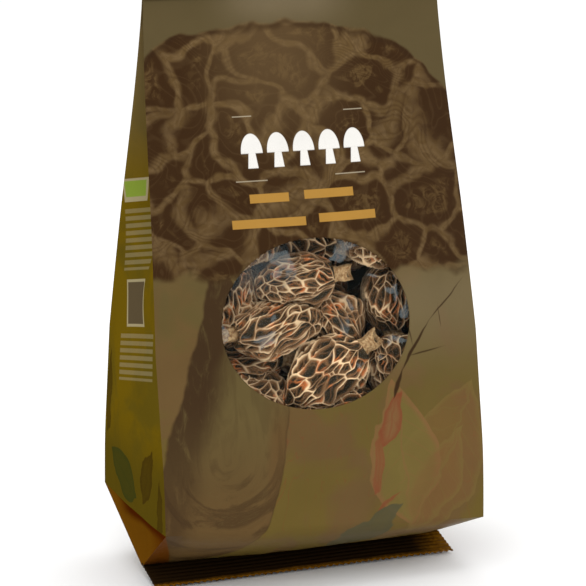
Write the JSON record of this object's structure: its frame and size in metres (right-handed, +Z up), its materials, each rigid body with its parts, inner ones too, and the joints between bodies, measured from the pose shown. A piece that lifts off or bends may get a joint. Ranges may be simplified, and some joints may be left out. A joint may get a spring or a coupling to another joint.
{
  "type": "window pouch of dried morel mushrooms",
  "caption": "Sealed side-gusseted film pouch standing on its folded bottom, with an oval clear window showing the dried morel mushrooms that fill it.",
  "frame": {"origin": "centre of the bounding box's bottom face, on the surface that the pouch stands on", "axes": "+Z up the pouch, -Y out of its front panel with the window, +X to the right seen from the front"},
  "size_m": [0.1128, 0.0666, 0.204],
  "materials": {
    "printed_film": "olive-brown printed film, satin",
    "clear_film": "clear glossy film",
    "dried_morel": "dry wrinkled mushroom flesh, dark brown pits and pale tan ridges"
  },
  "bodies": {
    "root": {"bag_film": "printed_film", "window_film": "clear_film", "morel_01": "dried_morel", "morel_02": "dried_morel", "morel_03": "dried_morel", "morel_04": "dried_morel", "morel_05": "dried_morel", "morel_06": "dried_morel", "morel_07": "dried_morel", "morel_08": "dried_morel", "morel_09": "dried_morel", "morel_10": "dried_morel", "morel_11": "dried_morel", "morel_12": "dried_morel", "morel_13": "dried_morel", "morel_14": "dried_morel", "morel_15": "dried_morel", "morel_16": "dried_morel", "morel_17": "dried_morel", "morel_18": "dried_morel", "morel_19": "dried_morel", "morel_20": "dried_morel", "morel_21": "dried_morel", "morel_22": "dried_morel", "morel_23": "dried_morel", "morel_24": "dried_morel", "morel_25": "dried_morel", "morel_26": "dried_morel", "morel_27": "dried_morel", "morel_28": "dried_morel", "morel_29": "dried_morel", "morel_30": "dried_morel", "morel_31": "dried_morel", "morel_32": "dried_morel", "morel_33": "dried_morel", "morel_34": "dried_morel", "morel_35": "dried_morel", "morel_36": "dried_morel", "morel_37": "dried_morel", "morel_38": "dried_morel", "morel_39": "dried_morel", "morel_40": "dried_morel", "morel_41": "dried_morel", "morel_42": "dried_morel", "morel_43": "dried_morel", "morel_44": "dried_morel", "morel_45": "dried_morel", "morel_46": "dried_morel"}
  },
  "joints": []
}
